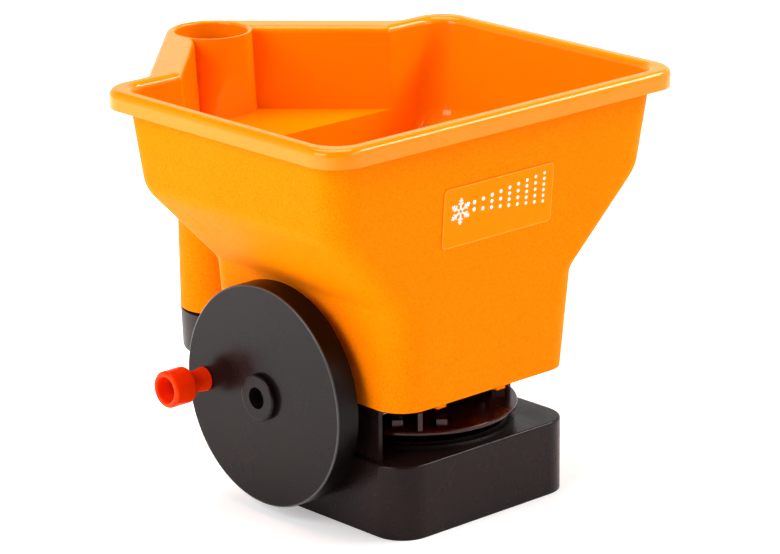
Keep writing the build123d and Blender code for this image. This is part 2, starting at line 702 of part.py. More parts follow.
# ---------------------------------------------------------------- bottom cover
cover_gap = SHELL + GAP
cover_front_y = BASE_FRONT_Y + cover_gap
cover_back_y = BASE_BACK_Y - cover_gap
with BuildPart() as bottom_cover:
    cover_outline = slab(0, BASE_HALF_X - cover_gap, cover_front_y, cover_back_y, BASE_CORNER_R - cover_gap)
    extrude(cover_outline, amount=COVER_THICKNESS)
    extrude(disc_on(level(0), FOOT_SEAT_R), amount=FOOT_SEAT_HEIGHT)
    extrude(disc_on(level(COVER_THICKNESS), SPINNER_BUSH_R), amount=THROUGH, mode=Mode.SUBTRACT)
    for x, y in cover_places:
        extrude(disc_on(level(0, x, y), SCREW_R + GAP), amount=COVER_THICKNESS, mode=Mode.SUBTRACT)
        extrude(disc_on(level(0, x, y), SCREW_HEAD_R + GAP), amount=COVER_SCREW_SINK, mode=Mode.SUBTRACT)
finish(bottom_cover.part, "bottom_cover")

# ---------------------------------------------------------------- grip bracket
with BuildPart() as grip_bracket:
    cup_height = TUBE_FOOT_Z - DECK_Z
    with Locations((0, TUBE_Y, DECK_Z)):
        Cone(CUP_FOOT_R, CUP_TOP_R, cup_height, align=(Align.CENTER, Align.CENTER, Align.MIN))
    fillet(edges().filter_by_position(Axis.Z, DECK_Z, DECK_Z), CUP_EDGE_R)
    cup_top = Plane(origin=(0, TUBE_Y + CUP_TOP_R, TUBE_FOOT_Z)).rotated((CUP_TOP_SLOPE, 0, 0))
    split(bisect_by=cup_top, keep=Keep.BOTTOM)
    # arm from the cup to the base's rear wall
    arm_end_y = TUBE_Y - CUP_FOOT_R / 2
    with BuildSketch(level(DECK_Z)):
        Polygon(
            (-ARM_HALF_X, REAR_WALL_Y + GAP),
            (ARM_HALF_X, REAR_WALL_Y + GAP),
            (ARM_CUP_HALF_X, arm_end_y),
            (-ARM_CUP_HALF_X, arm_end_y),
            align=None,
        )
    extrude(amount=ARM_TOP_Z - DECK_Z)
    # plug that goes up into the grip tube
    extrude(disc_on(level(ARM_TOP_Z, y=TUBE_Y), CUP_PLUG_R), amount=TUBE_FLOOR_Z - ARM_TOP_Z - PLUG_GAP)
    # hollow underneath, with screw bosses
    cup_hollow = disc_on(level(DECK_Z, y=TUBE_Y), CUP_FOOT_R - 2 * SHELL)
    extrude(cup_hollow, amount=CUP_CEILING_Z - DECK_Z, mode=Mode.SUBTRACT)
    with BuildSketch(level(DECK_Z)):
        Polygon(
            (-ARM_HALF_X + SHELL, REAR_WALL_Y + 2 * SHELL),
            (ARM_HALF_X - SHELL, REAR_WALL_Y + 2 * SHELL),
            (ARM_CUP_HALF_X - SHELL, arm_end_y - 3 * SHELL),
            (-ARM_CUP_HALF_X + SHELL, arm_end_y - 3 * SHELL),
            align=None,
        )
    extrude(amount=ARM_TOP_Z - DECK_Z - SHELL, mode=Mode.SUBTRACT)
    for x in both_sides(BRACKET_SCREW_X):
        boss_plane = Plane(origin=(x, REAR_WALL_Y + GAP, BRACKET_SCREW_Z), z_dir=(0, 1, 0))
        extrude(disc_on(boss_plane, BRACKET_BOSS_R), amount=BRACKET_BOSS_LENGTH)
        extrude(disc_on(boss_plane, SCREW_R), amount=BRACKET_HOLE_DEPTH, mode=Mode.SUBTRACT)
    extrude(disc_on(level(DECK_Z, y=TUBE_Y), SCREW_R + GAP), amount=TUBE_FLOOR_Z - DECK_Z, mode=Mode.SUBTRACT)
    # spigot for the trigger's spring
    spigot_plane = Plane(origin=(0, cup_front_y + SPIGOT_ROOT, SPRING_Z), z_dir=(0, -1, 0))
    extrude(disc_on(spigot_plane, SPIGOT_R), amount=SPIGOT_LENGTH + SPIGOT_ROOT)
finish(grip_bracket.part, "grip_bracket")

# ---------------------------------------------------------------- crank wheel
ring_pitch_r = MODULE * RING_TEETH / 2
ring_space = gear_points(
    RING_TEETH,
    ring_pitch_r + RING_DEDENDUM,
    ring_pitch_r - RING_ADDENDUM,
    half_pitch + BACKLASH / 2,
    mesh_angle,
)
with BuildPart() as crank_wheel:
    face_plane = across(WHEEL_FACE_X, WHEEL_Y, WHEEL_Z, 1)
    wheel_depth = WHEEL_BACK_X - WHEEL_FACE_X
    extrude(disc_on(face_plane, WHEEL_R), amount=wheel_depth)
    extrude(disc_on(face_plane, HUB_R), amount=-HUB_PROUD)
    face_edges = edges().filter_by_position(Axis.X, WHEEL_FACE_X, WHEEL_FACE_X)
    fillet(face_edges.sort_by(SortBy.LENGTH)[-1], WHEEL_EDGE_R)
    fillet(edges().filter_by_position(Axis.X, hub_end_x, hub_end_x), HUB_EDGE_R)
    # hollow back with the internal teeth
    with BuildSketch(face_plane.offset(WEB)) as tooth_spaces:
        Polygon(*ring_space, align=None)
    extrude(tooth_spaces.sketch, amount=wheel_depth - WEB, mode=Mode.SUBTRACT)
    back_opening = disc_on(face_plane.offset(wheel_depth), WHEEL_R - WHEEL_RIM_WALL)
    extrude(back_opening, amount=-WHEEL_RECESS, mode=Mode.SUBTRACT)
    extrude(disc_on(face_plane.offset(WEB), INNER_HUB_R), amount=wheel_depth - WEB)
    # bore, seat of the retaining screw, and the hole of the knob's pin
    hub_plane = across(hub_end_x, WHEEL_Y, WHEEL_Z, 1)
    extrude(disc_on(hub_plane, HUB_HOLE_R), amount=HUB_HOLE_DEPTH, mode=Mode.SUBTRACT)
    extrude(disc_on(hub_plane, AXLE_R + FIT), amount=THROUGH, mode=Mode.SUBTRACT)
    extrude(disc_on(across(WHEEL_FACE_X, knob_y, knob_z, 1), KNOB_PIN_R), amount=WEB, mode=Mode.SUBTRACT)
finish(crank_wheel.part, "crank_wheel")

with BuildPart() as wheel_axle:
    shoulder = across(AXLE_SHOULDER_X, WHEEL_Y, WHEEL_Z, -1)
    extrude(disc_on(shoulder, AXLE_R), amount=AXLE_SHOULDER_X - axle_end_x)
    extrude(disc_on(shoulder, AXLE_ROOT_R), amount=AXLE_SHOULDER_X + SIDE_WALL_X - SHELL)
    axle_end = across(axle_end_x, WHEEL_Y, WHEEL_Z, -1)
    extrude(disc_on(axle_end, SCREW_R), amount=-WHEEL_SCREW_HOLE, mode=Mode.SUBTRACT)
finish(wheel_axle.part, "wheel_axle")

with BuildPart() as wheel_washer:
    extrude(ring_on(axle_end, HUB_HOLE_R - GAP, SCREW_R + FIT), amount=WASHER_THICKNESS)
finish(wheel_washer.part, "wheel_washer")

with BuildPart() as wheel_screw:
    screw(
        (axle_end_x + WHEEL_SCREW_LENGTH, WHEEL_Y, WHEEL_Z),
        (-1, 0, 0),
        WHEEL_SCREW_LENGTH + WASHER_THICKNESS,
        head_r=WHEEL_SCREW_HEAD_R,
        head_height=WHEEL_SCREW_HEAD_HEIGHT,
    )
finish(wheel_screw.part, "wheel_screw")

# ---------------------------------------------------------------- crank knob
knob_plane = Plane(origin=(knob_foot_x, knob_y, knob_z), x_dir=(-1, 0, 0), z_dir=(0, 1, 0))
shoulder_x = KNOB_NECK_LENGTH + KNOB_SHOULDER
knob_end = shoulder_x + KNOB_HEAD_LENGTH
with BuildPart() as crank_knob:
    with BuildSketch(knob_plane) as knob_profile:
        Polygon(
            (0, KNOB_PIN_R + FIT),
            (0, KNOB_FLARE_R),
            (KNOB_NECK_LENGTH / 2, KNOB_NECK_R),
            (KNOB_NECK_LENGTH, KNOB_NECK_R),
            (shoulder_x, KNOB_HEAD_R),
            (knob_end, KNOB_HEAD_R),
            (knob_end, KNOB_HOLE_R),
            (knob_bore_length, KNOB_HOLE_R),
            (knob_bore_length, KNOB_PIN_R + FIT),
            align=None,
        )
        head_corners = knob_profile.vertices().group_by(Axis.Y)[-1]
        fillet(head_corners, KNOB_EDGE_R)
        end_points = knob_profile.vertices().group_by(Axis.X)[-1]
        fillet(end_points.sort_by(Axis.Y)[0], KNOB_MOUTH_EDGE_R)
    revolve(axis=Axis((knob_foot_x, knob_y, knob_z), (-1, 0, 0)))
finish(crank_knob.part, "crank_knob")

with BuildPart() as knob_pin:
    screw(
        (web_x, knob_y, knob_z),
        (-1, 0, 0),
        web_x - knob_foot_x + knob_bore_length + GAP,
        KNOB_PIN_R,
        KNOB_PIN_HEAD_R,
        KNOB_PIN_HEAD_HEIGHT,
    )
finish(knob_pin.part, "knob_pin")

# ---------------------------------------------------------------- cross shaft and its gears
pinion_pitch_r = MODULE * PINION_TEETH / 2
pinion_teeth_points = gear_points(
    PINION_TEETH,
    pinion_pitch_r + PINION_ADDENDUM,
    pinion_pitch_r - PINION_DEDENDUM,
    half_pitch - BACKLASH / 2,
    mesh_angle,
)
pinion_x = web_x + 1.0
with BuildPart() as drive_pinion:
    with BuildSketch(across(pinion_x, 0, CROSS_Z, 1)) as pinion_outline:
        Polygon(*pinion_teeth_points, align=None)
        Circle(CROSS_SHAFT_R, mode=Mode.SUBTRACT)
    extrude(pinion_outline.sketch, amount=PINION_FACE)
finish(drive_pinion.part, "drive_pinion")

with BuildPart() as cross_shaft:
    shaft_end_x = -SPINNER_SHAFT_R - CROSS_END_GAP
    shaft_start_x = pinion_x - GAP
    extrude(disc_on(across(shaft_start_x, 0, CROSS_Z, 1), CROSS_SHAFT_R), amount=shaft_end_x - shaft_start_x)
finish(cross_shaft.part, "cross_shaft")

front_scale = (MITRE_R - MITRE_FACE) / MITRE_R
with BuildPart() as cross_bevel:
    back_plane = across(-MITRE_R, 0, CROSS_Z, 1)
    tooth_down = -math.pi / 2
    wide_end = mitre_section(back_plane, 1.0, tooth_down)
    narrow_end = mitre_section(back_plane.offset(MITRE_FACE), front_scale, tooth_down)
    loft([wide_end, narrow_end], ruled=True)
    extrude(disc_on(back_plane, MITRE_HUB_R), amount=-MITRE_HUB_LENGTH)
    extrude(disc_on(back_plane.offset(MITRE_FACE), CROSS_SHAFT_R), amount=-THROUGH, mode=Mode.SUBTRACT)
finish(cross_bevel.part, "cross_bevel")

with BuildPart() as spinner_bevel:
    lower_plane = level(CROSS_Z - MITRE_R)
    gap_left = math.pi + math.pi / MITRE_TEETH
    wide_end = mitre_section(lower_plane, 1.0, gap_left)
    narrow_end = mitre_section(lower_plane.offset(MITRE_FACE), front_scale, gap_left)
    loft([wide_end, narrow_end], ruled=True)
    extrude(disc_on(lower_plane, MITRE_HUB_R), amount=-MITRE_HUB_LENGTH)
    extrude(disc_on(lower_plane.offset(MITRE_FACE), SPINNER_SHAFT_R), amount=-THROUGH, mode=Mode.SUBTRACT)
finish(spinner_bevel.part, "spinner_bevel")

with BuildPart() as shaft_clips:
    for bearing_x in (-BASE_HALF_X - SIDE_SEAT_REACH, INNER_WEB_X):
        clip_plane = across(bearing_x - GAP, 0, CROSS_Z, -1)
        extrude(ring_on(clip_plane, CROSS_SHAFT_R + CLIP_REACH, CROSS_SHAFT_R), amount=CLIP_THICKNESS)
finish(shaft_clips.part, "shaft_clips")

# ---------------------------------------------------------------- spinner
disc_pin_plane = across(-DISC_PIN_LENGTH / 2, 0, DISC_HUB_TOP_Z - DISC_PIN_DROP, 1)
with BuildPart() as spinner_shaft:
    extrude(disc_on(level(SHAFT_FOOT_Z), SPINNER_SHAFT_R), amount=SHAFT_TOP_Z - SHAFT_FOOT_Z)
    chamfer(edges().filter_by(GeomType.CIRCLE), SHAFT_END_CHAMFER)
    extrude(disc_on(disc_pin_plane, DISC_PIN_R), amount=DISC_PIN_LENGTH, mode=Mode.SUBTRACT)
finish(spinner_shaft.part, "spinner_shaft")

with BuildPart() as spinner_disc:
    extrude(disc_on(level(DISC_Z), DISC_R), amount=DISC_THICKNESS)
    fillet(edges().filter_by(GeomType.CIRCLE), DISC_EDGE_R)
    extrude(disc_on(level(DISC_HUB_Z), DISC_HUB_R), amount=DISC_HUB_TOP_Z - DISC_HUB_Z)
    # vanes with raised ends, and a pair of short ribs beside each
    for start, height in ((VANE_START, VANE_HEIGHT), (VANE_TIP_START, VANE_TIP_HEIGHT)):
        with BuildSketch(level(disc_top_z)) as vane_feet:
            with PolarLocations((start + VANE_END) / 2, VANES, start_angle=VANE_ANGLE):
                Rectangle(VANE_END - start, VANE_THICKNESS)
        extrude(vane_feet.sketch, amount=height)
    rib_places = [(RIB_END - RIB_LENGTH / 2, offset) for offset in both_sides(RIB_OFFSET)]
    with BuildSketch(level(disc_top_z)) as rib_feet:
        with PolarLocations(0, VANES, start_angle=VANE_ANGLE):
            with Locations(*rib_places):
                Rectangle(RIB_LENGTH, RIB_WIDTH)
    extrude(rib_feet.sketch, amount=VANE_HEIGHT)
    extrude(disc_on(level(DISC_HUB_Z), SPINNER_SHAFT_R), amount=THROUGH, mode=Mode.SUBTRACT)
    extrude(disc_on(disc_pin_plane, DISC_PIN_R), amount=DISC_PIN_LENGTH, mode=Mode.SUBTRACT)
finish(spinner_disc.part, "spinner_disc")

with BuildPart() as disc_pin:
    extrude(disc_on(disc_pin_plane, DISC_PIN_R), amount=DISC_PIN_LENGTH)
finish(disc_pin.part, "disc_pin")

with BuildPart() as agitator:
    extrude(ring_on(level(AGITATOR_Z), AGITATOR_HUB_R, SPINNER_SHAFT_R), amount=AGITATOR_HEIGHT)
    for index, height in enumerate(AGITATOR_ROD_HEIGHTS):
        turn = math.pi * index / len(AGITATOR_ROD_HEIGHTS)
        direction = (math.cos(turn), math.sin(turn))
        for sign in (-1, 1):
            along_x = sign * direction[0]
            along_y = sign * direction[1]
            root = (AGITATOR_ROD_ROOT * along_x, AGITATOR_ROD_ROOT * along_y, AGITATOR_Z + height)
            rod_plane = Plane(origin=root, z_dir=(along_x, along_y, 0))
            extrude(disc_on(rod_plane, AGITATOR_ROD_R), amount=AGITATOR_REACH - AGITATOR_ROD_ROOT)
finish(agitator.part, "agitator")

# ---------------------------------------------------------------- bushes and seal
with BuildPart() as deck_bush:
    extrude(ring_on(level(deck_under_z), SPINNER_BUSH_R, SPINNER_SHAFT_R + FIT), amount=SHELL + PAD_HEIGHT)
    extrude(ring_on(level(DECK_Z + PAD_HEIGHT), BUSH_FLANGE_R, SPINNER_SHAFT_R + FIT), amount=BUSH_FLANGE)
finish(deck_bush.part, "deck_bush")

with BuildPart() as foot_bush:
    extrude(ring_on(level(COVER_THICKNESS), SPINNER_BUSH_R, SPINNER_SHAFT_R + FIT), amount=FOOT_BUSH_LENGTH)
finish(foot_bush.part, "foot_bush")

with BuildPart() as side_bush:
    extrude(ring_on(side_seat, CROSS_BUSH_R, CROSS_SHAFT_R + FIT), amount=SHELL + SIDE_SEAT_REACH)
finish(side_bush.part, "side_bush")

with BuildPart() as inner_bush:
    extrude(ring_on(inner_seat, CROSS_BUSH_R, CROSS_SHAFT_R + FIT), amount=INNER_WEB_THICKNESS + BUSH_FLANGE)
finish(inner_bush.part, "inner_bush")

with BuildPart() as floor_seal:
    extrude(ring_on(level(FLOOR_Z), SHAFT_HOLE_R, SPINNER_SHAFT_R + FIT), amount=FLOOR_THICKNESS)
    extrude(ring_on(level(FLOOR_Z + FLOOR_THICKNESS), SEAL_R, SPINNER_SHAFT_R + FIT), amount=SEAL_LIP)
finish(floor_seal.part, "floor_seal")

# ---------------------------------------------------------------- outlet shroud
with BuildPart() as outlet_shroud:
    box_between((-SHROUD_HALF_X, SHROUD_FRONT_Y, SHROUD_Z), (SHROUD_HALF_X, SHROUD_BACK_Y, chassis_top_z))
    box_between(
        (-SHROUD_HALF_X + SHROUD_WALL, SHROUD_FRONT_Y + SHROUD_WALL, SHROUD_Z + SHROUD_WALL),
        (SHROUD_HALF_X - SHROUD_WALL, SHROUD_BACK_Y - SHROUD_WALL, chassis_top_z),
        mode=Mode.SUBTRACT,
    )
    # notches for the rails in front, and a wide one behind for the rails and the gate
    for side in (-1, 1):
        notch_x = sorted((side * (GATE_HALF_X - RAIL_LEDGE), side * (rail_outer_x + GAP)))
        box_between(
            (notch_x[0], SHROUD_FRONT_Y, RAIL_FOOT_Z - GAP),
            (notch_x[1], SHROUD_FRONT_Y + SHROUD_WALL, chassis_top_z),
            mode=Mode.SUBTRACT,
        )
    box_between(
        (-rail_outer_x - GAP, SHROUD_BACK_Y - SHROUD_WALL, RAIL_FOOT_Z - GAP),
        (rail_outer_x + GAP, SHROUD_BACK_Y, chassis_top_z),
        mode=Mode.SUBTRACT,
    )
    for x in both_sides(PORT_X):
        box_between(
            (x - PORT_WIDTH / 2, PORT_FRONT_Y, SHROUD_Z),
            (x + PORT_WIDTH / 2, PORT_FRONT_Y + PORT_LENGTH, SHROUD_Z + SHROUD_WALL),
            mode=Mode.SUBTRACT,
        )
    extrude(disc_on(level(SHROUD_Z), SHAFT_HOLE_R), amount=SHROUD_WALL, mode=Mode.SUBTRACT)
    for x, y in shroud_places:
        extrude(disc_on(level(SHROUD_Z, x, y), FLOOR_BOSS_R), amount=chassis_top_z - SHROUD_Z)
        extrude(disc_on(level(SHROUD_Z, x, y), SCREW_R + GAP), amount=THROUGH, mode=Mode.SUBTRACT)
finish(outlet_shroud.part, "outlet_shroud")

# ---------------------------------------------------------------- gate and trigger
tail_end_y = trigger_back_y - TAIL_INSET
pin_y = TRIGGER_FRONT_Y + TRIGGER_DEPTH / 2
pin_plane = level(TRIGGER_FOOT_Z + TRIGGER_PIN_START, y=pin_y)
fork_half_x = SPINNER_SHAFT_R + FORK_GAP
with BuildPart() as gate_plate:
    box_between((-GATE_HALF_X, GATE_FRONT_Y, gate_z), (GATE_HALF_X, GATE_BACK_Y, gate_top_z))
    box_between((-TAIL_HALF_X, GATE_BACK_Y, gate_z), (TAIL_HALF_X, tail_end_y, gate_top_z))
    slot_low = (-fork_half_x, GATE_FRONT_Y, gate_z)
    box_between(slot_low, (fork_half_x, fork_half_x, gate_top_z), mode=Mode.SUBTRACT)
    for x in both_sides(PORT_X):
        box_between(
            (x - PORT_WIDTH / 2, PORT_FRONT_Y - GATE_TRAVEL, gate_z),
            (x + PORT_WIDTH / 2, PORT_FRONT_Y + PORT_LENGTH - GATE_TRAVEL, gate_top_z),
            mode=Mode.SUBTRACT,
        )
    extrude(disc_on(pin_plane, TRIGGER_PIN_R), amount=TRIGGER_PIN_LENGTH, mode=Mode.SUBTRACT)
finish(gate_plate.part, "gate_plate")

with BuildPart() as trigger:
    body_low = (-TRIGGER_HALF_X, TRIGGER_FRONT_Y, TRIGGER_FOOT_Z)
    box_between(body_low, (TRIGGER_HALF_X, trigger_back_y, TRIGGER_SHOULDER_Z))
    fillet(edges().filter_by(Axis.Z), TRIGGER_EDGE_R)
    # finger blade, hollowed at the front for the finger
    blade_plane = Plane(origin=(-TRIGGER_HALF_X + BLADE_INSET, 0, 0), x_dir=(0, 1, 0), z_dir=(1, 0, 0))
    mid_z = (TRIGGER_SHOULDER_Z + TRIGGER_TOP_Z) / 2
    with BuildSketch(blade_plane) as blade_profile:
        with BuildLine():
            foot = (trigger_back_y - BLADE_INSET, TRIGGER_SHOULDER_Z - BLADE_FOOT)
            tip = (trigger_back_y, TRIGGER_TOP_Z)
            inner_tip = (trigger_back_y - TRIGGER_BLADE, TRIGGER_TOP_Z)
            inner_foot = (TRIGGER_FRONT_Y + BLADE_INSET, TRIGGER_SHOULDER_Z - BLADE_FOOT)
            ThreePointArc(foot, (trigger_back_y - BLADE_BOW, mid_z), tip)
            Line(tip, inner_tip)
            ThreePointArc(inner_tip, (trigger_back_y - BLADE_BOW - TRIGGER_BLADE, mid_z), inner_foot)
            Line(inner_foot, foot)
        make_face()
    extrude(blade_profile.sketch, amount=2 * (TRIGGER_HALF_X - BLADE_INSET))
    fillet(edges().filter_by(Axis.X).group_by(Axis.Z)[-1], TRIGGER_TIP_R)
    # slot for the gate's tail, its pin and the spring's spigot
    tail_low = (-TAIL_HALF_X, TRIGGER_FRONT_Y, gate_z)
    box_between(tail_low, (TAIL_HALF_X, tail_end_y, gate_top_z), mode=Mode.SUBTRACT)
    extrude(disc_on(pin_plane, TRIGGER_PIN_R), amount=TRIGGER_PIN_LENGTH, mode=Mode.SUBTRACT)
    trigger_spigot = Plane(origin=(0, trigger_back_y, SPRING_Z), z_dir=(0, 1, 0))
    extrude(disc_on(trigger_spigot, SPIGOT_R), amount=SPIGOT_LENGTH)
finish(trigger.part, "trigger")

with BuildPart() as trigger_pin:
    extrude(disc_on(pin_plane, TRIGGER_PIN_R), amount=TRIGGER_PIN_LENGTH)
finish(trigger_pin.part, "trigger_pin")

spring_start_y = trigger_back_y + SPRING_WIRE_R
spring_length = cup_front_y - SPRING_WIRE_R - spring_start_y
with BuildPart() as trigger_spring:
    with BuildLine() as spring_path:
        coil = Helix(
            pitch=spring_length / SPRING_TURNS,
            height=spring_length,
            radius=SPRING_R,
            center=(0, spring_start_y, SPRING_Z),
            direction=(0, 1, 0),
        )
    with BuildSketch(Plane(origin=coil @ 0, z_dir=coil % 0)):
        Circle(SPRING_WIRE_R)
    sweep(path=coil)
finish(trigger_spring.part, "trigger_spring")

# ---------------------------------------------------------------- fasteners
with BuildPart() as bottom_screws:
    for x, y in cover_places:
        screw(
            (x, y, COVER_SCREW_TIP_Z),
            (0, 0, -1),
            COVER_SCREW_TIP_Z - COVER_SCREW_SINK,
            head_height=COVER_HEAD_HEIGHT,
        )
finish(bottom_screws.part, "bottom_screws")

with BuildPart() as hopper_screws:
    lug_under_z = chassis_top_z - LUG_THICKNESS
    floor_tip_z = FLOOR_Z + FLOOR_SCREW_DEPTH
    for x, y in lug_places:
        screw((x, y, floor_tip_z), (0, 0, -1), floor_tip_z - lug_under_z)
finish(hopper_screws.part, "hopper_screws")

with BuildPart() as shroud_screws:
    for x, y in shroud_places:
        screw((x, y, floor_tip_z), (0, 0, -1), floor_tip_z - SHROUD_Z)
finish(shroud_screws.part, "shroud_screws")

with BuildPart() as bracket_screws:
    for x in both_sides(BRACKET_SCREW_X):
        tip_y = REAR_WALL_Y + GAP + BRACKET_SCREW_DEPTH
        screw((x, tip_y, BRACKET_SCREW_Z), (0, -1, 0), tip_y - REAR_WALL_Y + SHELL)
finish(bracket_screws.part, "bracket_screws")

with BuildPart() as grip_screw:
    screw((0, TUBE_Y, GRIP_SCREW_TIP_Z), (0, 0, -1), GRIP_SCREW_TIP_Z - CUP_CEILING_Z)
finish(grip_screw.part, "grip_screw")
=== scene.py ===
import json
import math

import bpy
from mathutils import Matrix, Vector


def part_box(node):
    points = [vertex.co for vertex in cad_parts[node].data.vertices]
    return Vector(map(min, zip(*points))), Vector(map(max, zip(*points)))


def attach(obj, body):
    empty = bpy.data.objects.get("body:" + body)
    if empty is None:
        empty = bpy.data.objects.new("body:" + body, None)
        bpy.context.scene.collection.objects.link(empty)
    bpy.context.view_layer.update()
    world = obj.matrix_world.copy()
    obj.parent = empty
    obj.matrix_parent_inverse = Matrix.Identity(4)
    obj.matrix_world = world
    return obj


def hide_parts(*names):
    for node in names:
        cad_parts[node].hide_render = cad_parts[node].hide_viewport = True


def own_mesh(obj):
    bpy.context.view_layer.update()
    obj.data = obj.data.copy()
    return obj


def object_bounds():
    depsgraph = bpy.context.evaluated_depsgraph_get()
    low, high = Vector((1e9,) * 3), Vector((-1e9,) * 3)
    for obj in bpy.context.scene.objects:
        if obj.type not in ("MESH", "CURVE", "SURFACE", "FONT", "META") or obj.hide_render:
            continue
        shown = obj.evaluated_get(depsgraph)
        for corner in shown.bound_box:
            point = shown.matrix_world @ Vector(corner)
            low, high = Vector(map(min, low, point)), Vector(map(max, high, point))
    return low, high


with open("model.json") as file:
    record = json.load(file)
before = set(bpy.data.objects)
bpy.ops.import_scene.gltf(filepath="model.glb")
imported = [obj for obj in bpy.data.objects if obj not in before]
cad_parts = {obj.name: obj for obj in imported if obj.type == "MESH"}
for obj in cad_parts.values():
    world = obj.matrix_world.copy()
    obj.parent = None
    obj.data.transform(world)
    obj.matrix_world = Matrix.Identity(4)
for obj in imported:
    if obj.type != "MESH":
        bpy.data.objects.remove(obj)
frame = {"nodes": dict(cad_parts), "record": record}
cad_low, cad_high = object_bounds()
nodes = frame["nodes"]
scene = bpy.context.scene
scene.view_settings.view_transform = "Standard"
scene.view_settings.look = "Medium High Contrast"


# ---------------------------------------------------------------- node helpers
def add_node(tree, kind, settings=None, **inputs):
    """A shader node with its settings and unlinked inputs set by name."""
    made = tree.nodes.new(kind)
    for key, value in (settings or {}).items():
        setattr(made, key, value)
    for key, value in inputs.items():
        made.inputs[key.replace("_", " ")].default_value = value
    return made


def maths(tree, operation, first, second=None):
    """A math node; each operand is a number or a socket."""
    made = tree.nodes.new("ShaderNodeMath")
    made.operation = operation
    for slot, value in enumerate((first, second)):
        if value is None:
            continue
        if isinstance(value, (int, float)):
            made.inputs[slot].default_value = value
        else:
            tree.links.new(value, made.inputs[slot])
    return made.outputs[0]


def remap(tree, value, from_low, from_high, to_low, to_high, smooth=False):
    """value mapped from one range to another, clamped."""
    made = tree.nodes.new("ShaderNodeMapRange")
    made.interpolation_type = "SMOOTHSTEP" if smooth else "LINEAR"
    tree.links.new(value, made.inputs["Value"])
    limits = {"From Min": from_low, "From Max": from_high, "To Min": to_low, "To Max": to_high}
    for name, number in limits.items():
        made.inputs[name].default_value = number
    return made.outputs["Result"]


def noise(tree, coords, scale, detail=3.0, roughness=0.5, stretch=None, turn=(0.0, 0.0, 0.0)):
    """Noise over the object's own coordinates, stretched and turned for brushed or scratched marks."""
    if stretch:
        mapping = add_node(tree, "ShaderNodeMapping")
        mapping.inputs["Scale"].default_value = stretch
        mapping.inputs["Rotation"].default_value = turn
        tree.links.new(coords, mapping.inputs["Vector"])
        coords = mapping.outputs["Vector"]
    made = add_node(tree, "ShaderNodeTexNoise", Scale=scale, Detail=detail, Roughness=roughness)
    tree.links.new(coords, made.inputs["Vector"])
    return made.outputs["Fac"]


def blend_colours(tree, factor, first, second):
    """A mix of two colours; each is a tuple or a socket."""
    made = tree.nodes.new("ShaderNodeMix")
    made.data_type = "RGBA"
    tree.links.new(factor, made.inputs["Factor"])
    for name, value in (("A", first), ("B", second)):
        slot = [s for s in made.inputs if s.name == name and s.type == "RGBA"][0]
        if isinstance(value, tuple):
            slot.default_value = (*value, 1.0)
        else:
            tree.links.new(value, slot)
    return [s for s in made.outputs if s.type == "RGBA"][0]


def bump(tree, height, depth, strength=1.0, below=None):
    """A bump of the given depth in metres, on top of an earlier one."""
    made = add_node(tree, "ShaderNodeBump", Distance=depth)
    if isinstance(strength, (int, float)):
        made.inputs["Strength"].default_value = strength
    else:
        tree.links.new(strength, made.inputs["Strength"])
    tree.links.new(height, made.inputs["Height"])
    if below:
        tree.links.new(below, made.inputs["Normal"])
    return made.outputs["Normal"]


def new_material(name):
    """An empty material: (material, tree, shader, the object's own coordinates)."""
    material = bpy.data.materials.new(name)
    material.use_nodes = True
    tree = material.node_tree
    shader = tree.nodes["Principled BSDF"]
    coords = tree.nodes.new("ShaderNodeTexCoord")
    return material, tree, shader, coords


SCRATCH_FROM, SCRATCH_TO = 0.775, 0.80


def scratches(tree, coords, density):
    """Fine scratches in three directions: 1 on a scratch and 0 off it."""
    lines = None
    for turn, stretch in (
        ((0.3, 0.5, 0.2), (14.0, 700.0, 18.0)),
        ((1.1, -0.4, 0.9), (10.0, 16.0, 620.0)),
        ((-0.5, 0.8, 1.9), (660.0, 12.0, 15.0)),
    ):
        field = noise(tree, coords, 1.0, 1.0, 0.4, stretch, turn)
        line = remap(tree, field, SCRATCH_FROM - density, SCRATCH_TO - density, 0.0, 1.0)
        lines = line if lines is None else maths(tree, "MAXIMUM", lines, line)
    return lines


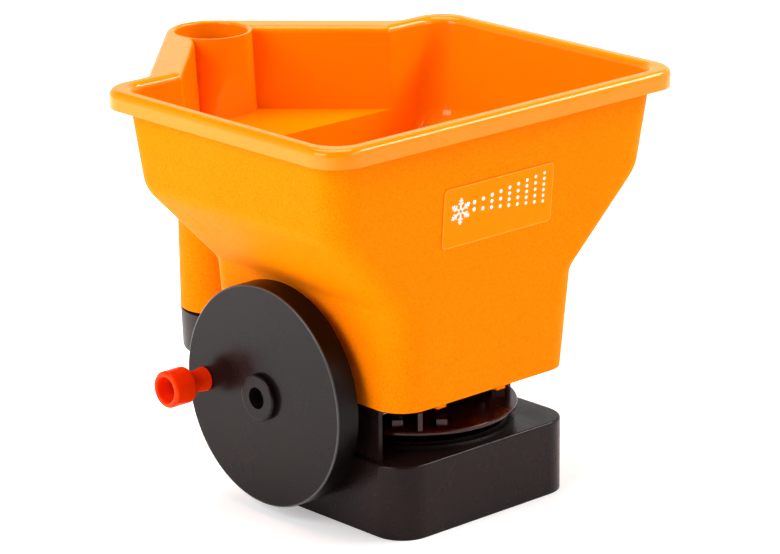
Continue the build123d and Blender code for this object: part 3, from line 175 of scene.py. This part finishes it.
def plastic(
    name, light, dark, gloss, dull, grain, depth, density=0.0, mask=None, specular=0.5, coat=0.0
):
    """Moulded plastic between two colours and two roughnesses, with moulded grain and fine scratches.

    With a mask, the covered faces are rough and speckled and the rest are glossy.
    """
    material, tree, shader, source = new_material(name)
    coords = source.outputs["Object"]
    tone = remap(tree, noise(tree, coords, 14.0, 4.0, 0.6), 0.3, 0.7, 0.0, 1.0)
    marks = scratches(tree, coords, density)
    colour = blend_colours(tree, tone, light, dark)
    paler = tuple(min(1.0, c * 1.12 + 0.012) for c in light)
    colour = blend_colours(tree, maths(tree, "MULTIPLY", marks, 0.5), colour, paler)
    tree.links.new(colour, shader.inputs["Base Color"])
    smudge = remap(tree, noise(tree, coords, 38.0, 5.0, 0.65), 0.35, 0.7, gloss, dull, True)
    rough = maths(tree, "ADD", smudge, maths(tree, "MULTIPLY", marks, 0.14))
    if mask:
        covered = mask(tree, source)
        rough = maths(tree, "ADD", rough, maths(tree, "MULTIPLY", covered, 0.17))
        strength = remap(tree, covered, 0.0, 1.0, 0.05, 1.0)
        speckle = remap(tree, noise(tree, coords, 1050.0, 2.0, 0.6), 0.42, 0.60, 0.0, 0.85)
        deeper = tuple(c * shade for c, shade in zip(dark, (0.93, 0.80, 1.0)))
        colour = blend_colours(tree, maths(tree, "MULTIPLY", speckle, covered), colour, deeper)
        tree.links.new(colour, shader.inputs["Base Color"])
        tree.links.new(remap(tree, covered, 0.0, 1.0, coat, 0.0), shader.inputs["Coat Weight"])
    else:
        strength = 1.0
        shader.inputs["Coat Weight"].default_value = coat
    shader.inputs["Coat Roughness"].default_value = 0.07
    tree.links.new(rough, shader.inputs["Roughness"])
    normal = bump(tree, noise(tree, coords, 26.0, 2.0, 0.5), 0.0006, 0.12)
    normal = bump(tree, noise(tree, coords, grain, 3.0, 0.55), depth, strength, normal)
    normal = bump(tree, marks, -0.00003, 0.5, normal)
    tree.links.new(normal, shader.inputs["Normal"])
    shader.inputs["Specular IOR Level"].default_value = specular
    return material


def outer_faces(tree, source):
    """1 on the hopper's outer walls and the outside of its grip, and 0 inside it and on the lip."""
    place = add_node(tree, "ShaderNodeSeparateXYZ")
    facing = add_node(tree, "ShaderNodeSeparateXYZ")
    tree.links.new(source.outputs["Object"], place.inputs[0])
    tree.links.new(source.outputs["Normal"], facing.inputs[0])
    from_middle = maths(tree, "SUBTRACT", place.outputs["Y"], HOPPER_MIDDLE_Y)
    along_x = maths(tree, "MULTIPLY", place.outputs["X"], facing.outputs["X"])
    along_y = maths(tree, "MULTIPLY", from_middle, facing.outputs["Y"])
    outward = remap(tree, maths(tree, "ADD", along_x, along_y), 0.0, 0.004, 0.0, 1.0)
    below_lip = remap(tree, place.outputs["Z"], LIP_UNDER_Z - 0.001, LIP_UNDER_Z, 1.0, 0.0)
    from_tube = maths(tree, "SUBTRACT", place.outputs["Y"], TUBE_Y)
    squares = maths(
        tree,
        "ADD",
        maths(tree, "MULTIPLY", place.outputs["X"], place.outputs["X"]),
        maths(tree, "MULTIPLY", from_tube, from_tube),
    )
    off_tube = remap(tree, maths(tree, "SQRT", squares), TUBE_CLEAR_R, TUBE_CLEAR_R + SOFT_EDGE, 0.0, 1.0)
    walls = maths(tree, "MULTIPLY", maths(tree, "MULTIPLY", outward, below_lip), off_tube)
    behind = remap(tree, place.outputs["Y"], GRIP_FRONT_Y, GRIP_FRONT_Y + 2 * SOFT_EDGE, 0.0, 1.0)
    below_shelf = remap(tree, place.outputs["Z"], SHELF_Z - 0.001, SHELF_Z, 1.0, 0.0)
    grip = maths(tree, "MULTIPLY", behind, below_shelf)
    backwards = remap(tree, facing.outputs["Y"], 0.05, 0.2, 0.0, 1.0)
    rear = remap(tree, place.outputs["Y"], TUBE_Y, TUBE_Y + SOFT_EDGE, 0.0, 1.0)
    back = maths(tree, "MULTIPLY", maths(tree, "MULTIPLY", backwards, rear), below_lip)
    return maths(tree, "MAXIMUM", walls, maths(tree, "MAXIMUM", grip, back))


def wheel_shade_and_highlight_masks(tree, source):
    """Two masks over the crank wheel: its outer rim band, where shade is painted, and the edge round its
    outer face, where a highlight is painted.
    """
    place = add_node(tree, "ShaderNodeSeparateXYZ")
    tree.links.new(source.outputs["Object"], place.inputs[0])
    up = maths(tree, "SUBTRACT", place.outputs["Z"], WHEEL_Z)
    along = maths(tree, "SUBTRACT", place.outputs["Y"], WHEEL_Y)
    squares = maths(tree, "ADD", maths(tree, "MULTIPLY", up, up), maths(tree, "MULTIPLY", along, along))
    radius = maths(tree, "SQRT", squares)
    rim = remap(tree, radius, WHEEL_R - 0.0006, WHEEL_R - 0.0002, 0.0, 1.0)
    edge = remap(tree, radius, WHEEL_R - 0.0011, WHEEL_R - 0.0006, 0.0, 1.0)
    near_face = remap(tree, place.outputs["X"], WHEEL_FACE_X + 0.0003, WHEEL_FACE_X + 0.0012, 1.0, 0.0)
    return rim, maths(tree, "MULTIPLY", edge, near_face)


def paint_wheel_shade_and_highlight(material):
    """A duller rim band painted dark as painted shade, and a paler ring round the face edge as a painted
    highlight, on the wheel's plastic.
    """
    tree = material.node_tree
    shader = tree.nodes["Principled BSDF"]
    rim, edge = wheel_shade_and_highlight_masks(tree, tree.nodes["Texture Coordinate"])
    colour = shader.inputs["Base Color"].links[0].from_socket
    rough = shader.inputs["Roughness"].links[0].from_socket
    # Painted shade: the rim band is painted near black, darker than the face, as if it lay in shade.
    colour = blend_colours(tree, rim, colour, (0.0030, 0.0005, 0.0004))
    # Painted highlight: a pale grey ring is painted round the edge of the outer face, where a lit fillet
    # would gleam.
    colour = blend_colours(tree, maths(tree, "MULTIPLY", edge, 0.8), colour, (0.130, 0.122, 0.120))
    tree.links.new(colour, shader.inputs["Base Color"])
    duller = maths(tree, "ADD", rough, maths(tree, "MULTIPLY", maths(tree, "SUBTRACT", rim, edge), 0.12))
    tree.links.new(duller, shader.inputs["Roughness"])


def metal(name, colour, roughness, streak_scale):
    """Bare or plated steel with fine drawing marks and a mottled coat."""
    material, tree, shader, source = new_material(name)
    coords = source.outputs["Object"]
    streaks = noise(tree, coords, 1.0, 4.0, 0.6, streak_scale)
    mottle = noise(tree, coords, 420.0, 3.0, 0.5)
    darker = tuple(c * 0.72 for c in colour)
    tree.links.new(blend_colours(tree, mottle, colour, darker), shader.inputs["Base Color"])
    rough = maths(tree, "ADD", remap(tree, streaks, 0.3, 0.7, -0.07, 0.09), roughness)
    tree.links.new(rough, shader.inputs["Roughness"])
    tree.links.new(bump(tree, streaks, 0.00004, 0.6), shader.inputs["Normal"])
    shader.inputs["Metallic"].default_value = 1.0
    return material


# ---------------------------------------------------------------- places from the frame
hopper_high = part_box("hopper")[1]
label_low, label_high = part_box("front_label")
wheel_low, wheel_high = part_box("crank_wheel")
cup_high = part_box("grip_bracket")[1]
LIP_DEPTH = 0.0092
GRIP_RADIUS = 0.0192
HOPPER_MIDDLE_Y = 0.016
LIP_UNDER_Z = hopper_high.z - LIP_DEPTH
TUBE_Y = cup_high.y - GRIP_RADIUS
TUBE_CLEAR_R = 0.0225
GRIP_FRONT_Y = 0.118
SHELF_Z = 0.1665
SOFT_EDGE = 0.002

WHEEL_Y = (wheel_low.y + wheel_high.y) / 2
WHEEL_Z = (wheel_low.z + wheel_high.z) / 2
WHEEL_R = (wheel_high.z - wheel_low.z) / 2
WHEEL_FACE_X = -0.0805

# ---------------------------------------------------------------- materials
orange = plastic(
    "orange_plastic",
    (0.960, 0.268, 0.0006),
    (0.930, 0.250, 0.0004),
    0.26,
    0.38,
    1000.0,
    0.00022,
    mask=outer_faces,
    specular=0.02,
    coat=0.62,
)
knob_orange = plastic(
    "knob_plastic",
    (1.0, 0.058, 0.0006),
    (0.96, 0.044, 0.0005),
    0.26,
    0.38,
    500.0,
    0.00002,
    specular=0.06,
    coat=0.2,
)
black = plastic(
    "black_plastic",
    (0.0190, 0.0098, 0.0088),
    (0.0145, 0.0076, 0.0068),
    0.22,
    0.34,
    900.0,
    0.00004,
    specular=0.22,
)
wheel_black = plastic(
    "wheel_plastic",
    (0.0130, 0.0086, 0.0078),
    (0.0100, 0.0068, 0.0062),
    0.20,
    0.30,
    800.0,
    0.00002,
    specular=0.22,
)
# The wheel gets painted shade on its rim band and a painted highlight round its face edge.
paint_wheel_shade_and_highlight(wheel_black)
# Painted light: the grip bracket's black is painted paler than the other black plastic, standing in for
# light on its rounded cup.
bracket_painted_light = plastic(
    "bracket_plastic",
    (0.036, 0.026, 0.025),
    (0.030, 0.021, 0.020),
    0.38,
    0.50,
    900.0,
    0.00005,
    0.006,
    specular=0.4,
)
# Painted reflection: the spinner disc's black is tinted dark red, standing in for orange light bounced from
# the hopper above it.
disc_painted_bounce = plastic(
    "disc_plastic",
    (0.040, 0.0035, 0.0030),
    (0.032, 0.0028, 0.0024),
    0.14,
    0.24,
    300.0,
    0.00002,
    specular=0.5,
)
acetal = plastic("gear_plastic", (0.74, 0.72, 0.66), (0.68, 0.66, 0.59), 0.30, 0.42, 500.0, 0.00002)
rubber = plastic("seal_rubber", (0.020, 0.020, 0.020), (0.014, 0.014, 0.014), 0.62, 0.78, 1500.0, 0.00005)
steel = metal("steel", (0.66, 0.66, 0.65), 0.26, (700.0, 60.0, 700.0))
spring_steel = metal("spring_steel", (0.50, 0.49, 0.47), 0.34, (500.0, 500.0, 90.0))
label_film = plastic(
    "label_film",
    (0.965, 0.272, 0.0006),
    (0.940, 0.256, 0.0005),
    0.24,
    0.34,
    700.0,
    0.00003,
    0.004,
    specular=0.03,
)
label_print = plastic(
    "label_print",
    (0.92, 0.90, 0.86),
    (0.88, 0.85, 0.80),
    0.26,
    0.38,
    900.0,
    0.00002,
    specular=0.15,
)
label_line = plastic(
    "label_line",
    (0.96, 0.46, 0.08),
    (0.94, 0.42, 0.06),
    0.26,
    0.38,
    900.0,
    0.00002,
    specular=0.15,
)

SLOT_MATERIALS = {
    "orange_plastic": orange,
    "knob_plastic": knob_orange,
    "black_plastic": black,
    "gear_plastic": acetal,
    "steel": steel,
    "spring_steel": spring_steel,
    "seal_rubber": rubber,
    "label_film": label_film,
}
OWN_MATERIALS = {"crank_wheel": wheel_black, "spinner_disc": disc_painted_bounce, "grip_bracket": bracket_painted_light}
for entry in frame["record"]["subparts"]:
    name = entry["node"]
    mesh = nodes[name].data
    chosen = OWN_MATERIALS.get(name, SLOT_MATERIALS[entry["material_slot"]])
    mesh.materials.clear()
    mesh.materials.append(chosen)


# ---------------------------------------------------------------- print on the label
FRONT_SLOPE = 0.0818
LABEL_FACE = 0.00019


def label_frame():
    """A matrix whose X and Y axes lie in the label's outer face, with its origin at the label's middle."""
    middle = (label_low + label_high) / 2
    slope = math.atan2(FRONT_SLOPE, 1.0)
    up = Vector((0.0, -math.sin(slope), math.cos(slope)))
    out = Vector((0.0, -math.cos(slope), -math.sin(slope)))
    origin = middle + out * LABEL_FACE
    return Matrix(
        (
            (1.0, up.x, out.x, origin.x),
            (0.0, up.y, out.y, origin.y),
            (0.0, up.z, out.z, origin.z),
            (0.0, 0.0, 0.0, 1.0),
        )
    )


def printed(name, loops, material, height=0.00006):
    """A thin raised print on the label. Each entry of loops is one outline, or an outline and its hole."""
    place = label_frame()
    verts, faces = [], []

    def strip(outer, inner):
        start = len(verts)
        count = len(outer)
        for level in (0.0, height):
            for ring in (outer, inner):
                verts.extend(place @ Vector((x, y, level)) for x, y in ring)
        a, b, c, d = (start + count * i for i in range(4))
        for i in range(count):
            j = (i + 1) % count
            faces.append((c + i, c + j, d + j, d + i))
            faces.append((a + i, a + j, c + j, c + i))
            faces.append((b + j, b + i, d + i, d + j))
            faces.append((a + j, a + i, b + i, b + j))

    def patch(outline):
        start = len(verts)
        count = len(outline)
        for level in (0.0, height):
            verts.extend(place @ Vector((x, y, level)) for x, y in outline)
        faces.append(tuple(range(start + count, start + 2 * count)))
        faces.append(tuple(reversed(range(start, start + count))))
        for i in range(count):
            j = (i + 1) % count
            faces.append((start + i, start + j, start + count + j, start + count + i))

    for entry in loops:
        if isinstance(entry[0][0], (int, float)):
            patch(entry)
        else:
            strip(*entry)
    mesh = bpy.data.meshes.new(name)
    mesh.from_pydata([tuple(v) for v in verts], [], faces)
    mesh.materials.append(material)
    made = bpy.data.objects.new(name, mesh)
    scene.collection.objects.link(made)
    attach(made, "frame")
    return made


def rounded(width, height, corner, steps=8):
    """Points of a rounded rectangle about the origin."""
    points = []
    for quarter, (sx, sy) in enumerate(((1, 1), (-1, 1), (-1, -1), (1, -1))):
        for step in range(steps + 1):
            angle = math.pi / 2 * (quarter + step / steps)
            points.append(
                (
                    sx * (width / 2 - corner) + corner * math.cos(angle),
                    sy * (height / 2 - corner) + corner * math.sin(angle),
                )
            )
    return points


def bar(x1, y1, x2, y2, width):
    """A straight stroke as four points."""
    length = math.hypot(x2 - x1, y2 - y1)
    nx, ny = -(y2 - y1) / length * width / 2, (x2 - x1) / length * width / 2
    return [(x1 - nx, y1 - ny), (x2 - nx, y2 - ny), (x2 + nx, y2 + ny), (x1 + nx, y1 + ny)]


def snow_crystal(cx, cy, radius, width):
    """The strokes of a plain six-armed snow crystal."""
    strokes = []
    for arm in range(6):
        angle = math.pi / 2 + arm * math.pi / 3
        dx, dy = math.cos(angle), math.sin(angle)
        near, far = 0.12 * radius, radius
        strokes.append(bar(cx + near * dx, cy + near * dy, cx + far * dx, cy + far * dy, width))
        for side in (-1, 1):
            branch = angle + side * math.radians(50)
            bx, by = math.cos(branch), math.sin(branch)
            for at, reach in ((0.45, 0.30), (0.70, 0.22)):
                sx, sy = cx + at * radius * dx, cy + at * radius * dy
                strokes.append(bar(sx, sy, sx + reach * radius * bx, sy + reach * radius * by, width * 0.8))
    return strokes


def grain_at(cx, cy, size, turn):
    """A small grain of salt: a square with cut corners."""
    return [
        (
            cx + size * math.cos(turn + math.radians(a)),
            cy + size * math.sin(turn + math.radians(a)),
        )
        for a in (20, 70, 110, 160, 200, 250, 290, 340)
    ]


# A line just inside the label's edge, a crystal at its left and columns of grains fanning out to the right.
label_width = label_high.x - label_low.x
label_height = 0.0308
COLUMNS = 9
FAN_START_X, FAN_LENGTH = -0.0165, 0.047
FAN_MIDDLE_Y, FAN_HEIGHT = 0.0035, 0.0145
outline = [
    (
        rounded(label_width - 0.0008, label_height - 0.0008, 0.0026),
        rounded(label_width - 0.0013, label_height - 0.0013, 0.0024),
    )
]
printed("label_outline", outline, label_line)
printed("label_crystal", snow_crystal(-0.0255, 0.0025, 0.0068, 0.00105), label_print)
grains = []
for column in range(COLUMNS):
    reach = column / (COLUMNS - 1)
    count = 2 + column // 2
    for index in range(count):
        across = (index - (count - 1) / 2) / max(1, count - 1)
        x = FAN_START_X + FAN_LENGTH * reach
        y = FAN_MIDDLE_Y + across * FAN_HEIGHT * (0.25 + 0.75 * reach)
        grains.append(grain_at(x, y, 0.00115 - 0.00025 * reach, 0.7 * column + 1.9 * index))
printed("label_grains", grains, label_print)

# ---------------------------------------------------------------- trigger spring
def coil_spring(name, low, high, wire, turns, ends, body):
    """A compression spring along Y with closed end turns."""
    middle = (low + high) / 2
    radius = (high.x - low.x) / 2 - wire
    start, length = low.y + wire, high.y - low.y - 2 * wire
    around, sides = 36, 10
    slow = 2.0 * wire / length
    centres = []
    for step in range(turns * around + 1):
        turn = step / around
        if turn < ends:
            share = slow * turn
        elif turn > turns - ends:
            share = 1.0 - slow * (turns - turn)
        else:
            share = slow * ends + (1.0 - 2.0 * slow * ends) * (turn - ends) / (turns - 2.0 * ends)
        angle = 2.0 * math.pi * turn
        out = Vector((math.cos(angle), 0.0, math.sin(angle)))
        centres.append((Vector((middle.x, start + length * share, middle.z)) + out * radius, out))
    verts = []
    for centre_point, out in centres:
        for side in range(sides):
            angle = 2.0 * math.pi * side / sides
            offset = out * math.cos(angle) + Vector((0.0, 1.0, 0.0)) * math.sin(angle)
            verts.append(tuple(centre_point + offset * wire))
    faces = []
    for ring in range(len(centres) - 1):
        for side in range(sides):
            a, b = ring * sides + side, ring * sides + (side + 1) % sides
            faces.append((a, b, b + sides, a + sides))
    faces.append(tuple(reversed(range(sides))))
    faces.append(tuple(range(len(verts) - sides, len(verts))))
    mesh = bpy.data.meshes.new(name)
    mesh.from_pydata(verts, [], faces)
    mesh.polygons.foreach_set("use_smooth", [True] * len(faces))
    mesh.materials.append(spring_steel)
    made = bpy.data.objects.new(name, mesh)
    scene.collection.objects.link(made)
    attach(made, body)
    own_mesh(made)
    return made


SPRING_WIRE_R = 0.0005
SPRING_TURNS = 8
CLOSED_TURNS = 1.0
spring_low, spring_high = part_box("trigger_spring")
return_spring = coil_spring(
    "return_spring",
    spring_low,
    spring_high,
    SPRING_WIRE_R,
    SPRING_TURNS,
    CLOSED_TURNS,
    "frame",
)
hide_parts("trigger_spring")

# ---------------------------------------------------------------- camera
CAMERA_AZIMUTH = math.radians(-42.730)
CAMERA_ELEVATION = math.radians(17.421)
CAMERA_ROLL = math.radians(-0.435)
CAMERA_LENS = 169.94
CAMERA_PLACE = Vector((-1.1952, -1.2761, 0.6607))
camera_data = bpy.data.cameras.new("camera")
camera_data.lens = CAMERA_LENS
camera_data.sensor_width = 36.0
camera_data.clip_start = 0.05
camera_data.clip_end = 50.0
camera = bpy.data.objects.new("camera", camera_data)
scene.collection.objects.link(camera)
back = Vector(
    (
        math.sin(CAMERA_AZIMUTH) * math.cos(CAMERA_ELEVATION),
        -math.cos(CAMERA_AZIMUTH) * math.cos(CAMERA_ELEVATION),
        math.sin(CAMERA_ELEVATION),
    )
)
level_right = Vector((math.cos(CAMERA_AZIMUTH), math.sin(CAMERA_AZIMUTH), 0.0))
level_up = back.cross(level_right)
right = level_right * math.cos(CAMERA_ROLL) + level_up * math.sin(CAMERA_ROLL)
up = back.cross(right)
camera.matrix_world = Matrix(
    (
        (right.x, up.x, back.x, CAMERA_PLACE.x),
        (right.y, up.y, back.y, CAMERA_PLACE.y),
        (right.z, up.z, back.z, CAMERA_PLACE.z),
        (0.0, 0.0, 0.0, 1.0),
    )
)
scene.camera = camera

# ---------------------------------------------------------------- floor
FLOOR_HALF = 6
FLOOR_GAP = 0.0002
corners = [(x * FLOOR_HALF, y * FLOOR_HALF, 0) for x, y in ((-1, -1), (1, -1), (1, 1), (-1, 1))]
floor_mesh = bpy.data.meshes.new("floor")
floor_mesh.from_pydata(corners, [], [(0, 1, 2, 3)])
floor = bpy.data.objects.new("floor", floor_mesh)
scene.collection.objects.link(floor)
floor.location.z = cad_low.z - FLOOR_GAP
floor_material, floor_tree, floor_shader, floor_source = new_material("floor")
floor_tone = noise(floor_tree, floor_source.outputs["Object"], 3.0, 2.0, 0.5)
floor_colour = blend_colours(floor_tree, floor_tone, (0.93, 0.93, 0.93), (0.90, 0.90, 0.90))
floor_tree.links.new(floor_colour, floor_shader.inputs["Base Color"])
floor_shader.inputs["Roughness"].default_value = 0.85
floor_shader.inputs["Emission Color"].default_value = (1.0, 1.0, 1.0, 1.0)
# The floor glows more behind the object's left, as a lit backdrop does, and far away from the lights.
floor_place = add_node(floor_tree, "ShaderNodeSeparateXYZ")
floor_tree.links.new(floor_source.outputs["Object"], floor_place.inputs[0])
floor_backwards = maths(floor_tree, "SUBTRACT", floor_place.outputs["Y"], floor_place.outputs["X"])
floor_glow = remap(floor_tree, floor_backwards, -0.3, 0.9, 0.05, 1.2, True)
floor_distance = add_node(floor_tree, "ShaderNodeVectorMath", {"operation": "LENGTH"})
floor_tree.links.new(floor_source.outputs["Object"], floor_distance.inputs[0])
floor_far = remap(floor_tree, floor_distance.outputs["Value"], 0.8, 3.0, 0.0, 0.9)
floor_emission = maths(floor_tree, "MAXIMUM", floor_glow, floor_far)
floor_tree.links.new(floor_emission, floor_shader.inputs["Emission Strength"])
floor_shader.inputs["Specular IOR Level"].default_value = 0.1
floor_mesh.materials.append(floor_material)

# ---------------------------------------------------------------- light
# A bright band round the horizon, a dim sky overhead and a dark side behind the camera.
DARK_SIDE = (-0.65, -0.70, 0.30)
world = bpy.data.worlds.new("studio")
scene.world = world
world.use_nodes = True
background = world.node_tree.nodes["Background"]
background.inputs["Color"].default_value = (1.0, 1.0, 1.0, 1.0)
world_coords = world.node_tree.nodes.new("ShaderNodeTexCoord")
world_split = world.node_tree.nodes.new("ShaderNodeSeparateXYZ")
world.node_tree.links.new(world_coords.outputs["Generated"], world_split.inputs[0])
horizon = remap(world.node_tree, world_split.outputs["Z"], 0.30, 0.62, 0.84, 0.10, True)
towards_dark = world.node_tree.nodes.new("ShaderNodeVectorMath")
towards_dark.operation = "DOT_PRODUCT"
towards_dark.inputs[1].default_value = DARK_SIDE
world.node_tree.links.new(world_coords.outputs["Generated"], towards_dark.inputs[0])
shade = remap(world.node_tree, towards_dark.outputs["Value"], 0.55, 0.85, 1.0, 0.12, True)
world_strength = maths(world.node_tree, "MULTIPLY", horizon, shade)
world.node_tree.links.new(world_strength, background.inputs["Strength"])


def softbox(name, place, target, width, height, power):
    """A rectangular studio light aimed at a point."""
    data = bpy.data.lights.new(name, "AREA")
    data.shape = "RECTANGLE"
    data.size = width
    data.size_y = height
    data.energy = power
    made = bpy.data.objects.new(name, data)
    scene.collection.objects.link(made)
    place, target = Vector(place), Vector(target)
    aim = (target - place).to_track_quat("-Z", "Y").to_matrix().to_4x4()
    made.matrix_world = Matrix.Translation(place) @ aim
    return made


centre = (0.0, 0.03, 0.12)
softbox("key", (-1.55, 0.10, 0.95), centre, 1.1, 1.1, 16.0)
softbox("front", (0.60, -1.5, 1.05), centre, 1.0, 0.8, 5.6)
softbox("top", (0.1, 0.3, 1.6), centre, 1.2, 1.2, 16.5)
softbox("edge", (1.05, -0.5, 1.15), centre, 1.1, 0.34, 14.0)
